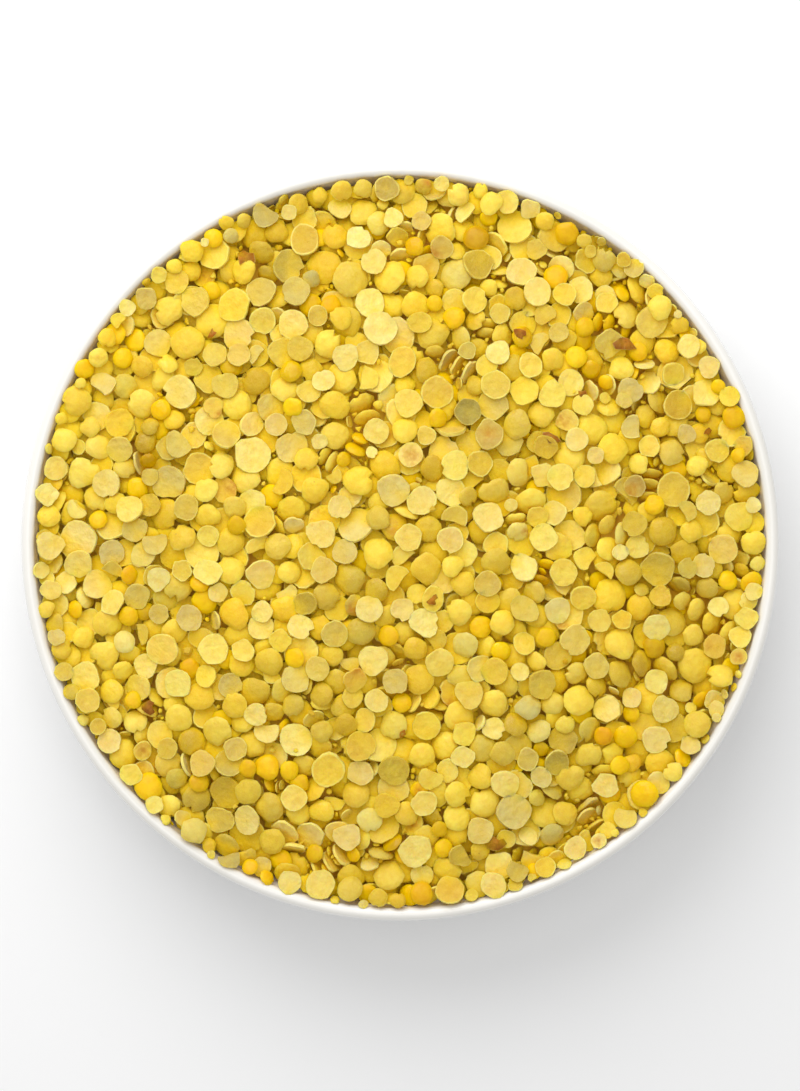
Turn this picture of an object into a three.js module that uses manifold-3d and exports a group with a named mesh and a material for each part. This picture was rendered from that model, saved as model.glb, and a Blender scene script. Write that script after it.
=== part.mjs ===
// A round glazed dish filled to just under its rim with dry hulled yellow lentils.
// Units are millimetres, +Z is up, and the origin is the centre of the foot ring's underside.
import * as THREE from "three";
import { mergeVertices } from "three/addons/utils/BufferGeometryUtils.js";
import Module from "manifold-3d";

const wasm = await Module();
wasm.setup();

// ---- Driving dimensions -------------------------------------------------------------------

const FILL_RADIUS = 67.5; // inside of the rim, where the lentils end
const DISH_HEIGHT = 28;
const RIM_THICKNESS = 2.4;
const FLOOR_THICKNESS = 4;
const FLOOR_RADIUS = 44; // flat part of the dish's inside floor
const FOOT_HEIGHT = 2; // depth of the recess inside the foot ring
const FOOT_RADIUS = 45; // outside of the foot ring
const FOOT_WIDTH = 4;
const FOOT_DRAFT = 0.8; // how far the foot ring leans in on each side

const FILL_BELOW_RIM = 1.6; // from the rim's top down to the lentils at the wall
const DOME_RISE = 5; // middle of the fill above its edge
const ROLL_HEIGHT = 0.55; // the fill's shallow rises and dips
const ROLL_LENGTH = 46;
const NODE_GAP = 0.3; // between the fill and the dish

const LENTIL_COUNT = 362;
const LENTIL_RADIUS = { least: 2.35, most: 3.65 };
const LENTIL_SIDES = 6;
const THICKNESS = { least: 1.2, most: 1.8 };
const CROWN = { least: 0.1, most: 0.5 }; // middle of a lentil's top above its edge
const NARROWEST = 0.88; // a lentil's width as a share of its length
const SHOULDER = 0.78; // radius of its top edge as a share of its radius
const ROOT = 1.12; // radius of its foot in the core, as a share of its radius
const ROOT_DEPTH = 1.9; // how far it runs down into the core from its middle
const SINK = 0.5; // how far some lentils lie below others
const MOST_TILT = 0.22; // radians
const PUSHES = 120; // rounds of pushing lentils apart
const ELBOW_ROOM = 1.02; // spacing of two lentils as a share of their radii
const WALL_CLEARANCE = 0.7;
const FLATNESS = 0.05; // faces this close to one plane are one face

const CORE_DEPTH = 1.45; // the core's top below the lentils' tops
const CORE_RINGS = [0.97, 0.66, 0.33, 0]; // where the core's dome bends, as shares of its radius

const TURN_STEPS = 44; // facets round the dish
const CURVE_STEPS = 5;
const DOME_SIDES = 13; // facets round the core's dome
const SEED = 9731;

// ---- Helpers ------------------------------------------------------------------------------

/** A seeded source of numbers from 0 to 1. */
function randomSource(seed) {
  let state = seed;
  return () => {
    state = (state + 0x6d2b79f5) | 0;
    let mixed = Math.imul(state ^ (state >>> 15), 1 | state);
    mixed = (mixed + Math.imul(mixed ^ (mixed >>> 7), 61 | mixed)) ^ mixed;
    return ((mixed ^ (mixed >>> 14)) >>> 0) / 4294967296;
  };
}

/** Turns a profile of (radius, height) points round the vertical axis. */
function turned(points, sides = TURN_STEPS) {
  return new THREE.LatheGeometry(points, sides).rotateX(Math.PI / 2);
}

/** A closed geometry as a solid that can be joined to others. */
function solidOf(geometry) {
  const bare = geometry.clone();
  bare.deleteAttribute("normal");
  bare.deleteAttribute("uv");
  const merged = mergeVertices(bare, 1e-4);
  return new wasm.Manifold(
    new wasm.Mesh({
      numProp: 3,
      vertProperties: merged.attributes.position.array,
      triVerts: new Uint32Array(merged.index.array),
    }),
  );
}

/** A solid's surface as a geometry. */
function geometryOf(solid) {
  const mesh = solid.getMesh();
  return new THREE.BufferGeometry()
    .setAttribute("position", new THREE.BufferAttribute(mesh.vertProperties, 3))
    .setIndex(new THREE.BufferAttribute(mesh.triVerts, 1));
}

/** The outer surface of a fused solid alone: sealed hollows are filled and loose scraps dropped. */
function outerBody(solid) {
  return solid.decompose().sort((a, b) => b.volume() - a.volume())[0];
}

// ---- Dish ---------------------------------------------------------------------------------

/** The inside of the dish from its floor to its rim, set inwards by a gap. */
function insideCurve(gap) {
  const wallTop = new THREE.Vector2(FILL_RADIUS - gap, DISH_HEIGHT - RIM_THICKNESS / 2);
  return new THREE.CubicBezierCurve(
    new THREE.Vector2(FLOOR_RADIUS, FOOT_HEIGHT + FLOOR_THICKNESS + gap),
    new THREE.Vector2(FLOOR_RADIUS + 14, FOOT_HEIGHT + FLOOR_THICKNESS + gap),
    new THREE.Vector2(wallTop.x - 2.4, DISH_HEIGHT * 0.42 + gap),
    wallTop,
  );
}

function dishGeometry() {
  const rimRadius = RIM_THICKNESS / 2;
  const rimCentre = FILL_RADIUS + rimRadius;
  const rimBase = DISH_HEIGHT - rimRadius;
  const inside = insideCurve(0);
  const profile = new THREE.Path()
    .moveTo(0, FOOT_HEIGHT)
    .lineTo(FOOT_RADIUS - FOOT_WIDTH, FOOT_HEIGHT)
    .lineTo(FOOT_RADIUS - FOOT_WIDTH + FOOT_DRAFT, 0)
    .lineTo(FOOT_RADIUS - FOOT_DRAFT, 0)
    .lineTo(FOOT_RADIUS, FOOT_HEIGHT)
    .bezierCurveTo(
      FOOT_RADIUS + 17,
      FOOT_HEIGHT + 0.4,
      rimCentre + rimRadius - 2.6,
      DISH_HEIGHT * 0.36,
      rimCentre + rimRadius,
      rimBase,
    )
    .absarc(rimCentre, rimBase, rimRadius, 0, Math.PI, false)
    .bezierCurveTo(inside.v2.x, inside.v2.y, inside.v1.x, inside.v1.y, inside.v0.x, inside.v0.y)
    .lineTo(0, FOOT_HEIGHT + FLOOR_THICKNESS);
  return turned(profile.getPoints(CURVE_STEPS));
}

// ---- Lentils ------------------------------------------------------------------------------

/** Height of the lentils' tops at a place: a shallow dome with a slow roll. */
function fillHeight(x, y) {
  const share = Math.hypot(x, y) / FILL_RADIUS;
  const turn = (2 * Math.PI) / ROLL_LENGTH;
  const roll = Math.sin(x * turn + 0.6) * Math.cos(y * turn * 0.8 - 0.4);
  return DISH_HEIGHT - FILL_BELOW_RIM + DOME_RISE * (1 - share * share) + ROLL_HEIGHT * roll;
}

/** The body of the fill under the lentils that show: its wall fits the dish, and its dome has few facets. */
function coreSolid() {
  const floor = FOOT_HEIGHT + FLOOR_THICKNESS + NODE_GAP;
  const edgeHeight = DISH_HEIGHT - FILL_BELOW_RIM - CORE_DEPTH;
  const side = insideCurve(NODE_GAP)
    .getPoints(CURVE_STEPS)
    .filter((point) => point.y < edgeHeight - 1);
  const edgeRadius = FILL_RADIUS - NODE_GAP - WALL_CLEARANCE;
  const drum = turned([
    new THREE.Vector2(0, floor),
    ...side,
    new THREE.Vector2(edgeRadius, edgeHeight),
    new THREE.Vector2(0, edgeHeight),
  ]);
  const rings = CORE_RINGS.map(
    (share) => new THREE.Vector2(edgeRadius * share, edgeHeight + DOME_RISE * (1 - share * share)),
  );
  const buried = [new THREE.Vector2(0, floor + 1), new THREE.Vector2(FLOOR_RADIUS, floor + 1)];
  const dome = turned([...buried, ...rings], DOME_SIDES);
  return solidOf(drum).add(solidOf(dome));
}

/** One few-sided lentil, crowned above and rooted in the core below, lying in its own XY plane. */
function lentilGeometry(radius, thickness, crown) {
  const profile = [
    new THREE.Vector2(0, -ROOT_DEPTH),
    new THREE.Vector2(radius * ROOT, -ROOT_DEPTH),
    new THREE.Vector2(radius * SHOULDER, thickness / 2),
    new THREE.Vector2(0, thickness / 2 + crown),
  ];
  return turned(profile, LENTIL_SIDES);
}

/** Keeps a place inside the dish's wall. */
function heldInside(place) {
  const reach = FILL_RADIUS - NODE_GAP - WALL_CLEARANCE - place.radius * ROOT;
  const along = Math.hypot(place.x, place.y);
  if (along > reach) {
    place.x *= reach / along;
    place.y *= reach / along;
  }
}

/** Places for the lentils that show: strewn at random, then pushed apart until few of them overlap. */
function lentilPlaces(random) {
  const places = Array.from({ length: LENTIL_COUNT }, (_, i) => {
    const radius = THREE.MathUtils.lerp(LENTIL_RADIUS.most, LENTIL_RADIUS.least, i / LENTIL_COUNT);
    const along = FILL_RADIUS * Math.sqrt(random());
    const angle = 2 * Math.PI * random();
    return { x: along * Math.cos(angle), y: along * Math.sin(angle), radius };
  });
  for (let round = 0; round < PUSHES; round++) {
    places.forEach((one, i) => {
      for (const other of places.slice(i + 1)) {
        const away = { x: one.x - other.x, y: one.y - other.y };
        const apart = Math.hypot(away.x, away.y) || 1;
        const bite = ELBOW_ROOM * (one.radius + other.radius) - apart;
        if (bite <= 0) continue;
        const push = bite / 2 / apart;
        one.x += away.x * push;
        one.y += away.y * push;
        other.x -= away.x * push;
        other.y -= away.y * push;
      }
    });
    places.forEach(heldInside);
  }
  return places;
}

/** The lentils that show, each turned, tilted and set a little higher or lower than the next. */
function lentilSolids() {
  const random = randomSource(SEED);
  const spread = (low, high) => low + (high - low) * random();
  return lentilPlaces(random).map(({ x, y, radius }) => {
    const towards = spread(0, 2 * Math.PI);
    const lean = new THREE.Vector3(Math.cos(towards), Math.sin(towards), 0);
    const thickness = spread(THICKNESS.least, THICKNESS.most);
    const pose = new THREE.Matrix4()
      .makeTranslation(x, y, fillHeight(x, y) - thickness / 2 - spread(0, SINK))
      .multiply(new THREE.Matrix4().makeRotationAxis(lean, MOST_TILT * random()))
      .multiply(new THREE.Matrix4().makeRotationZ(spread(0, Math.PI)))
      .multiply(new THREE.Matrix4().makeScale(1, spread(NARROWEST, 1), 1));
    return solidOf(lentilGeometry(radius, thickness, spread(CROWN.least, CROWN.most)).applyMatrix4(pose));
  });
}

/** The core and its lentils as one body, with the flat faces that the joining cut up made whole. */
function lentilsGeometry() {
  const fused = wasm.Manifold.union([coreSolid(), ...lentilSolids()]);
  return geometryOf(outerBody(fused.asOriginal().simplify(FLATNESS)));
}

// ---- The part -----------------------------------------------------------------------------

const dish = new THREE.Mesh(
  dishGeometry(),
  new THREE.MeshStandardMaterial({ color: 0xf4f3ef, roughness: 0.15, metalness: 0 }),
);
dish.name = "dish";

const lentils = new THREE.Mesh(
  lentilsGeometry(),
  new THREE.MeshStandardMaterial({ color: 0xe4c148, roughness: 0.6, metalness: 0, flatShading: true }),
);
lentils.name = "lentils";

const dishOfLentils = new THREE.Group();
dishOfLentils.add(dish, lentils);

export default dishOfLentils;
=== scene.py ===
import math
from dataclasses import dataclass

import bpy
import numpy as np
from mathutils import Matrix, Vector


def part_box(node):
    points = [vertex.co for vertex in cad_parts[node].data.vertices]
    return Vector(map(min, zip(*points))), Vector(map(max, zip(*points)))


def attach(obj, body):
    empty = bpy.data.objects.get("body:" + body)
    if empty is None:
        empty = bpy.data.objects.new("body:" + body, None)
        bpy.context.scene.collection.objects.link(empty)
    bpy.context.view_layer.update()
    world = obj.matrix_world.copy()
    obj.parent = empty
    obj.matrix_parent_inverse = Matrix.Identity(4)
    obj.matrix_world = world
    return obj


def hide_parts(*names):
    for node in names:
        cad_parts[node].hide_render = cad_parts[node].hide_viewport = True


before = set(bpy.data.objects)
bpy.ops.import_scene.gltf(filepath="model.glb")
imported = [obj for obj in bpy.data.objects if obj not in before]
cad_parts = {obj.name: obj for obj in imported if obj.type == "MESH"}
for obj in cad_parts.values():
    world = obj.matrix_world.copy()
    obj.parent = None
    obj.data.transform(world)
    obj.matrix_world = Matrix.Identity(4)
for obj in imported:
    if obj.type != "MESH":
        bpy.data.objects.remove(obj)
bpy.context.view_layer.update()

bl_info = {
    "name": "Dish of Dry Lentils",
    "version": (1, 0, 0),
    "blender": (4, 5, 0),
    "location": "3D View > Sidebar > Lentil Dish",
    "description": "Models a glazed dish and lays dry hulled lentils in it one by one",
    "category": "Object",
}

# ---- Sizes that the frame gives ------------------------------------------------------------

MM = 0.001
DISH_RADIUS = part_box("dish")[1].x
DISH_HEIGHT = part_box("dish")[1].z

# ---- The dish's form, as its solid has it ---------------------------------------------------

RIM_THICKNESS = 2.4 * MM
FILL_RADIUS = DISH_RADIUS - RIM_THICKNESS
FLOOR_RADIUS = 44 * MM  # flat part of the inside floor
FLOOR_THICKNESS = 4 * MM
FOOT_HEIGHT = 2 * MM
FOOT_RADIUS = 45 * MM
FOOT_WIDTH = 4 * MM
FOOT_DRAFT = 0.8 * MM
FOOT_ROUNDING = 0.5 * MM
FOOT_CORNER = 35  # degrees; only sharper corners are rounded
INSIDE_SWEEP = 14 * MM  # how far the floor's line pulls the inside curve outwards
INSIDE_LEAN = 2.4 * MM  # how far the curve is pulled in from the rim, at INSIDE_BEND of the height
INSIDE_BEND = 0.42
OUTSIDE_SWEEP = 17 * MM  # the same for the outside curve, which climbs a little from the foot
OUTSIDE_CLIMB = 0.4 * MM
OUTSIDE_LEAN = 2.6 * MM
OUTSIDE_BEND = 0.36
DISH_SIDES = 128
WALL_RINGS = 22
RIM_RINGS = 10
CRISP_EDGE = 40  # degrees; edges sharper than this stay crisp

# ---- The heap's form ------------------------------------------------------------------------

FILL_BELOW_RIM = 1.6 * MM
DOME_RISE = 5 * MM
ROLL_HEIGHT = 0.55 * MM
ROLL_LENGTH = 46 * MM
ROLL_ACROSS = 0.8  # waves across for one along
ROLL_SHIFTS = (0.6, -0.4)  # radians
NODE_GAP = 0.3 * MM  # between the core and the dish
CORE_SUNK = 0.15 * MM  # the core's top below what the lentils are laid on
CORE_SIDES = 96
CORE_WALL_RINGS = 24
CORE_TOP_RINGS = 26
CORE_TIP = 0.04  # radius of the innermost ring as a share of the outermost

# ---- How lentils are laid -------------------------------------------------------------------

CELL = 0.4 * MM  # one step of the raster of heights
RASTER_MARGIN = 12  # steps past the dish's rim
WALL_SAMPLES = 60  # steps of the wall's curve from which the raster is filled
TOUCH = 0.01 * MM  # a difference in height that no longer counts
SAMPLES = 420  # points on a lentil's faces that touch the raster
FOOTING = 0.95  # share of its radius that can find support
LOOSE_DEPTH = 4.4 * MM  # loose lentils lie this deep over the core
SPOTS_TRIED = 80
SPOTS_KEPT = 9  # the lowest of them, each tried in full
SPOT_WEIGHED = 0.7  # share of a lentil's radius over which a spot's depth is weighed
WALL_CLEARANCE = 0.8  # of a lentil's middle from the wall, as a share of its radius
SLID_CLEARANCE = 0.78  # the same once it has slid
WALL_CROWDING = 1.04  # spots are spread too wide by this factor, and brought in to the wall
MOST_SLIDES = 7
SLIDE_STEP = 1.3  # in raster steps
FRICTION = 0.2  # slope on which a lentil stays lying
STEEPEST = 1.3  # slope at which a lentil comes to rest by itself, at most
SWAY = 0.11  # how far a lentil's slopes stray from lying quite still
MOST_SWAPS = 24
MOST_MISSES = 1000

LEAN_DEPTH = 1.9 * MM  # a spot this deep can hold lentils that lean on each other
LEAN_COUNTS = [1, 1, 2, 3, 4, 5]
LEAN_SLOPES = (0.9, 2.6)
LEAN_GAP = 0.15 * MM  # air between them
LEAN_HIGHEST = 0.7 * MM  # above the full height
LEAN_TILTS = (0.85, 1.15)  # each one's slope as a share of their common slope
LEAN_TWIST = 0.12  # radians
LEAN_SIZES = (0.85, 1.1)

TILTS_TRIED = 14  # for a small lentil let down into a gap
GAPS_WEIGHED = 60  # the widest and deepest of them is filled
GAP_WEIGHED = 0.8  # share of a lentil's radius over which it is weighed
GAP_STEPS = 2  # raster steps that the lentil may stray from its middle
GAP_SLOPES = (0.1, 2.8)
GAP_ROUNDS = [  # depth, least and most radius, highest above full height, all in mm, and tries
    (0.9, (1.5, 2.4), 0.3, 1300),
    (1.3, (1.1, 1.9), -0.1, 1000),
    (1.7, (0.9, 1.5), -0.6, 1000),
    (2.2, (0.8, 1.2), -1.0, 1000),
]
CRUMB_ROUNDS = [(1.6, (0.45, 0.9), -0.8, 1800)]  # the same for the crumbs in the deepest gaps
WALL_ROUNDS = [(0.4, (1.4, 2.8), 2.1, 900), (0.5, (0.8, 1.5), 1.8, 700)]  # and at the wall
WALL_STRIP = 2.6 * MM  # gaps this near the wall are filled by themselves
WALL_FLATTER = 0.6  # slopes there, as a share of those in other gaps
WALL_WANDER = 0.4  # radians by which they stray from leaning straight outwards
OVERHANG = 1.1 * MM  # how far lentils may lie over the rim
OVERHANG_STOP = 2 * MM  # height over the rim of what holds them back there
BIT_SPOTS = 6  # spots tried for a crumb or scrap that is strewn at the end
BIT_WEIGHED = 3  # radii over which they are weighed
BIT_STEEPEST = 1.5
SHADE_REACH = 1.8 * MM  # a place lies deep if it is below the mean height this far around it
SEED = 4127

# ---- How lentils differ ---------------------------------------------------------------------

TYPICAL_RADIUS = 2.4 * MM
OUTLINE_WAVES = ((2, 1.1), (3, 0.9), (4, 0.7), (5, 0.6), (6, 0.4))  # how many round it, how high
FLAT_SIDES = 3
SIDE_DISTANCE = (0.86, 1.3)  # of a flat side from the middle; most lie past the outline
SIDE_REACH = 1.4  # radians to either side over which it can cut
CHIP_DEPTH = (-0.25, 0.16)  # none where below zero
CHIP_WIDTH = 0.28  # radians
BITE_DEPTH = 0.26
BITE_START = 0.4  # share of the radius from which the bite draws points in
BITE_NARROWING = 0.3
LIP = (-0.04, 0.08)  # how far the lip beside the bite stands out
CUT_WAVE = 0.05  # how far a broken edge waves
FACE_WAVES = 0.028  # height of the slow waves on a face, as a share of the radius
FACE_TURNS = (3.2, 3.6)  # radians of them to a radius
POINT_NOISE = 0.014
LENTIL_CRISP_EDGE = 50  # degrees

GOLD = np.array([[-0.05, -0.10, -0.66]])  # what gold adds to the logarithms of red, green and blue
GOLD_DRAWN = (-0.14, 1)  # middle and spread of how golden a lentil is
GOLD_LIMITS = (-0.8, 2.5)
DULL = np.array([[-0.04, -0.02, 0.06]])
DULL_LIMITS = (-1.5, 1.5)
TAN = np.array([[-0.12, -0.20, -0.20]])
TAN_INSIDE = 0.97  # the tan fades out towards this share of the radius
TAN_FADING = 0.11
TAN_LEFT = 0.2  # what is left of it there
SHADE_DRAWN = (-0.04, 0.08)
SHADE_LIGHTEST = 0.10
BRIGHTEST = 0.97
DRIFT_SHARE = 0.18  # how much of the slow drift the lentils take
DRIFT_SWELLS = 6
DRIFT_SHORTEST = 7.5 * MM  # length of the shortest swell
DRIFT_GROWTH = 1.42  # each next one is this much longer
DRIFT_SUM = 1.7  # brings their sum back to about one

EDGE_DRAWN = (0.86, 1.03)  # the attribute edge at a lentil's rim, least and most
STAIN_OFF = (0, 0.8)  # how far a stain lies off the middle
STAIN_SIZE = (0.35, 0.8)
PATTERN_SHIFT = 500  # millimetres by which a lentil's patterns are moved, at most
MOST_GAP_SHADE = 0.85  # share of the painted shade colour in the deepest gaps

# ---- The view -------------------------------------------------------------------------------

FRAME_PIXELS = (800, 1091)
FILL_PIXELS = 733  # the filled circle across
CENTRE_UP_PIXELS = 3.5  # its middle above the frame's
SENSOR_MM = 36
FARTHEST = 20  # metres that the camera sees
FLOOR_SIZE = 6
LIGHT_SIZE = 0.5
KEY_PLACE = (-0.11, 0.33, 0.35)
FILL_PLACE = (0, 0, 0.8)
LIT_POINT = (0, 0, 0.02)


# ---- Numbers and colours --------------------------------------------------------------------


def linear(code):
    """A colour written as six hex digits, in linear light."""
    shares = [int(code[i : i + 2], 16) / 255 for i in (0, 2, 4)]
    return [s / 12.92 if s <= 0.04045 else ((s + 0.055) / 1.055) ** 2.4 for s in shares]


def bezier(start, near_start, near_end, end, steps):
    """Points of a cubic curve in (radius, height), from its start to its end."""
    t = np.linspace(0, 1, steps + 1)[:, None]
    corners = [np.array(p) for p in (start, near_start, near_end, end)]
    weights = [(1 - t) ** 3, 3 * t * (1 - t) ** 2, 3 * t**2 * (1 - t), t**3]
    return sum(w * c for w, c in zip(weights, corners))


def inside_curve(steps, gap=0.0):
    """The dish's inside wall from its floor to its rim, set inwards by a gap."""
    floor = FOOT_HEIGHT + FLOOR_THICKNESS + gap
    top = (FILL_RADIUS - gap, DISH_HEIGHT - RIM_THICKNESS / 2)
    near_floor = (FLOOR_RADIUS + INSIDE_SWEEP, floor)
    near_top = (top[0] - INSIDE_LEAN, DISH_HEIGHT * INSIDE_BEND + gap)
    return bezier((FLOOR_RADIUS, floor), near_floor, near_top, top, steps)


def fill_height(x, y):
    """Height of the lentils' tops at a place: a shallow dome with a slow roll."""
    share = np.hypot(x, y) / FILL_RADIUS
    turn = 2 * math.pi / ROLL_LENGTH
    roll = np.sin(x * turn + ROLL_SHIFTS[0]) * np.cos(y * turn * ROLL_ACROSS + ROLL_SHIFTS[1])
    edge = DISH_HEIGHT - FILL_BELOW_RIM
    return edge + DOME_RISE * (1 - share * share) + ROLL_HEIGHT * roll


def slow_drift(x, y):
    """A slow swell over the heap, about one up and down, in which lentils turn lighter and darker.

    It is a sum of waves of growing length that run in scattered directions."""
    swell = 0
    for n in range(DRIFT_SWELLS):
        turn = 2 * math.pi / (DRIFT_SHORTEST * DRIFT_GROWTH**n)
        towards = 2.4 * n
        along = x * math.cos(towards) + y * math.sin(towards)
        swell = swell + np.sin(along * turn + 1.7 * n * n)
    return swell / DRIFT_SUM


# ---- Modelling ------------------------------------------------------------------------------


def select_only(piece):
    bpy.ops.object.select_all(action="DESELECT")
    piece.select_set(True)
    bpy.context.view_layer.objects.active = piece


def thrown(name, sides, profile, tip=0.0):
    """A turned solid: a disc drawn up from ring to ring of (radius, height), and closed by a tip."""
    (radius, height), *rings = profile
    bpy.ops.object.select_all(action="DESELECT")
    bpy.ops.mesh.primitive_circle_add(
        vertices=sides, radius=radius, fill_type="NGON", location=(0, 0, height)
    )
    piece = bpy.context.object
    piece.name = name
    piece.data.name = name
    bpy.ops.object.transform_apply(location=True)
    bpy.ops.object.mode_set(mode="EDIT")
    bpy.ops.mesh.select_all(action="SELECT")
    for next_radius, next_height in rings:
        lift = (0, 0, next_height - height)
        bpy.ops.mesh.extrude_region_move(TRANSFORM_OT_translate={"value": lift})
        scale = next_radius / radius
        bpy.ops.transform.resize(value=(scale, scale, 1), center_override=(0, 0, 0))
        radius, height = next_radius, next_height
    bpy.ops.mesh.poke(offset=tip)
    bpy.ops.mesh.select_all(action="SELECT")
    bpy.ops.mesh.normals_make_consistent(inside=False)
    bpy.ops.object.mode_set(mode="OBJECT")
    return piece


def smoothed(piece, angle):
    """Shades a piece smooth, with edges sharper than an angle left crisp."""
    select_only(piece)
    bpy.ops.object.shade_smooth_by_angle(angle=math.radians(angle))


def settled(piece, material, slot, *nodes):
    """A finished piece takes its material, rides with the dish and stands for its solids."""
    piece.data.materials.clear()
    piece.data.materials.append(material)
    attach(piece, "root")
    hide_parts(*nodes)


# ---- Materials ------------------------------------------------------------------------------


class Finish:
    """A material in the making: nodes are added by kind, with values or links by input name."""

    MIX_COLOUR_INPUTS = (0, 6, 7)  # a Mix node has sockets of the same names for each type of data
    MIX_COLOUR_OUTPUT = 2

    def __init__(self, name):
        self.material = bpy.data.materials.new(name)
        self.material.use_nodes = True
        self.tree = self.material.node_tree
        self.shader = self.tree.nodes["Principled BSDF"]

    def put(self, socket, value):
        if isinstance(value, bpy.types.NodeSocket):
            self.tree.links.new(value, socket)
        elif socket.type == "RGBA":
            socket.default_value = (*value, 1)
        else:
            socket.default_value = value

    def node(self, kind, output=0, settings=(), **inputs):
        """An output of a new node. In the names of its inputs, _ stands for a space."""
        made = self.tree.nodes.new("ShaderNode" + kind)
        for name, value in dict(settings).items():
            setattr(made, name, value)
        for name, value in inputs.items():
            self.put(made.inputs[name.replace("_", " ")], value)
        return made.outputs[output]

    def math(self, operation, *values):
        made = self.tree.nodes.new("ShaderNodeMath")
        made.operation = operation
        for socket, value in zip(made.inputs, values):
            self.put(socket, value)
        return made.outputs[0]

    def ramp(self, value, low, high, to_low=0.0, to_high=1.0):
        """A value brought smoothly from one range to another, and held there."""
        made = self.tree.nodes.new("ShaderNodeMapRange")
        made.interpolation_type = "SMOOTHSTEP"
        for socket, number in zip(made.inputs, (value, low, high, to_low, to_high)):
            self.put(socket, number)
        return made.outputs[0]

    def mix(self, share, first, second, blend="MIX"):
        made = self.tree.nodes.new("ShaderNodeMix")
        made.data_type = "RGBA"
        made.blend_type = blend
        for index, value in zip(self.MIX_COLOUR_INPUTS, (share, first, second)):
            self.put(made.inputs[index], value)
        return made.outputs[self.MIX_COLOUR_OUTPUT]

    def noise(self, place, scale, detail=2.0, roughness=0.5):
        return self.node("TexNoise", Vector=place, Scale=scale, Detail=detail, Roughness=roughness)

    def bump(self, height, distance, strength=1.0, normal=None):
        under = {} if normal is None else {"Normal": normal}
        return self.node("Bump", Height=height, Distance=distance, Strength=strength, **under)

    def attribute(self, name, output):
        return self.node("Attribute", output, {"attribute_name": name})

    def surface(self, **inputs):
        for name, value in inputs.items():
            self.put(self.shader.inputs[name.replace("_", " ")], value)
        return self.material


def glaze_finish(settings):
    """White glaze, thinner and warmer on the rim, with a bare ring where the foot stands."""
    finish = Finish("white_glaze")
    place = finish.node("TexCoord", "Object")
    height = finish.node("SeparateXYZ", "Z", Vector=place)
    cloud = finish.noise(place, 28, 3)
    grain = finish.noise(place, 900, 2)
    pits = finish.noise(place, 2600, 1)
    white = finish.mix(finish.ramp(cloud, 0.3, 0.7), settings.glaze, settings.glaze_shadow)
    on_rim = finish.ramp(height, DISH_HEIGHT - 0.7 * MM, DISH_HEIGHT - 0.1 * MM, 0, 0.35)
    white = finish.mix(on_rim, white, settings.glaze_rim)
    wander = finish.math("MULTIPLY_ADD", cloud, 0.5 * MM, height)
    bare = finish.ramp(wander, 0.75 * MM, 0.95 * MM, 1, 0)
    clay = finish.mix(finish.ramp(grain, 0.35, 0.65), settings.clay, settings.clay_dark)
    waves = finish.noise(place, 60, 1)
    smooth = finish.bump(waves, 0.12 * MM, 0.35)
    return finish.surface(
        Base_Color=finish.mix(bare, white, clay),
        Roughness=finish.math("MULTIPLY_ADD", bare, 0.55, finish.ramp(grain, 0.3, 0.7, 0.1, 0.17)),
        Coat_Weight=0.35,
        Coat_Roughness=0.06,
        IOR=1.5,
        Normal=finish.bump(finish.math("MULTIPLY", bare, pits), 0.1 * MM, 0.6, smooth),
    )


def lentil_finish(name, settings):
    """A dry hulled lentil's waxy skin: its own colour, mottled, with a pale rim and stains, and painted
    shade where it lies deep between others.

    Its patterns are laid out in millimetres, by the attribute place."""
    kind = KINDS[name]
    finish = Finish("lentil_" + name)
    skin = finish.attribute("skin", "Color")
    edge = finish.attribute("edge", "Fac")
    stain = finish.attribute("stain", "Fac")
    place = finish.attribute("place", "Vector")
    mottle = finish.noise(place, 0.55, 3, 0.6)
    grain = finish.noise(place, 5.5, 2)
    colour = finish.mix(finish.ramp(mottle, 0.3, 0.72), skin, settings.mottle, "MULTIPLY")
    # Painted shade: where a point lies below the heap around it, the skin turns towards a deep gold
    # without blue
    gap_shade = finish.ramp(finish.attribute("depth", "Fac"), -0.5 * MM, 1.3 * MM, 0, MOST_GAP_SHADE)
    colour = finish.mix(gap_shade, colour, settings.gap_shade)
    colour = finish.mix(finish.ramp(grain, 0.3, 0.7, 0, kind.powder), colour, settings.pale)
    fading = finish.ramp(finish.noise(place, 0.45, 1), 0.35, 0.62, 0.2, 1)
    rim = finish.math("MULTIPLY", finish.ramp(edge, 0.84, 0.97, 0, kind.rim), fading)
    colour = finish.mix(rim, colour, settings.pale)
    blotch = finish.ramp(finish.noise(place, 1.1, 3), 0.3, 0.6, 0.25, 0.85)
    colour = finish.mix(finish.math("MULTIPLY", stain, blotch), colour, settings.stain)
    cells = finish.node("TexVoronoi", "Distance", Vector=place, Scale=0.2)
    colour = finish.mix(finish.ramp(cells, 0.02, 0.04, 0.35, 0), colour, settings.speck)
    dents = finish.bump(finish.noise(place, 0.75, 2), 0.38 * MM, kind.dents)
    glossy = finish.ramp(finish.noise(place, 0.02, 0), 0.6, 0.66, 0, -0.22)
    rough = finish.ramp(mottle, 0.3, 0.7, kind.roughness - 0.05, kind.roughness + 0.07)
    return finish.surface(
        Base_Color=colour,
        Roughness=finish.math("ADD", rough, glossy),
        # painted shade: the skin reflects less where it lies deep between others
        Specular_IOR_Level=finish.ramp(gap_shade, 0, MOST_GAP_SHADE, 0.26, 0.05),
        Subsurface_Weight=0.55,
        Subsurface_Radius=(1.0, 0.8, 0.12),
        Subsurface_Scale=1.1 * MM,
        Normal=finish.bump(grain, 0.03 * MM, 0.7, dents),
    )


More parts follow.
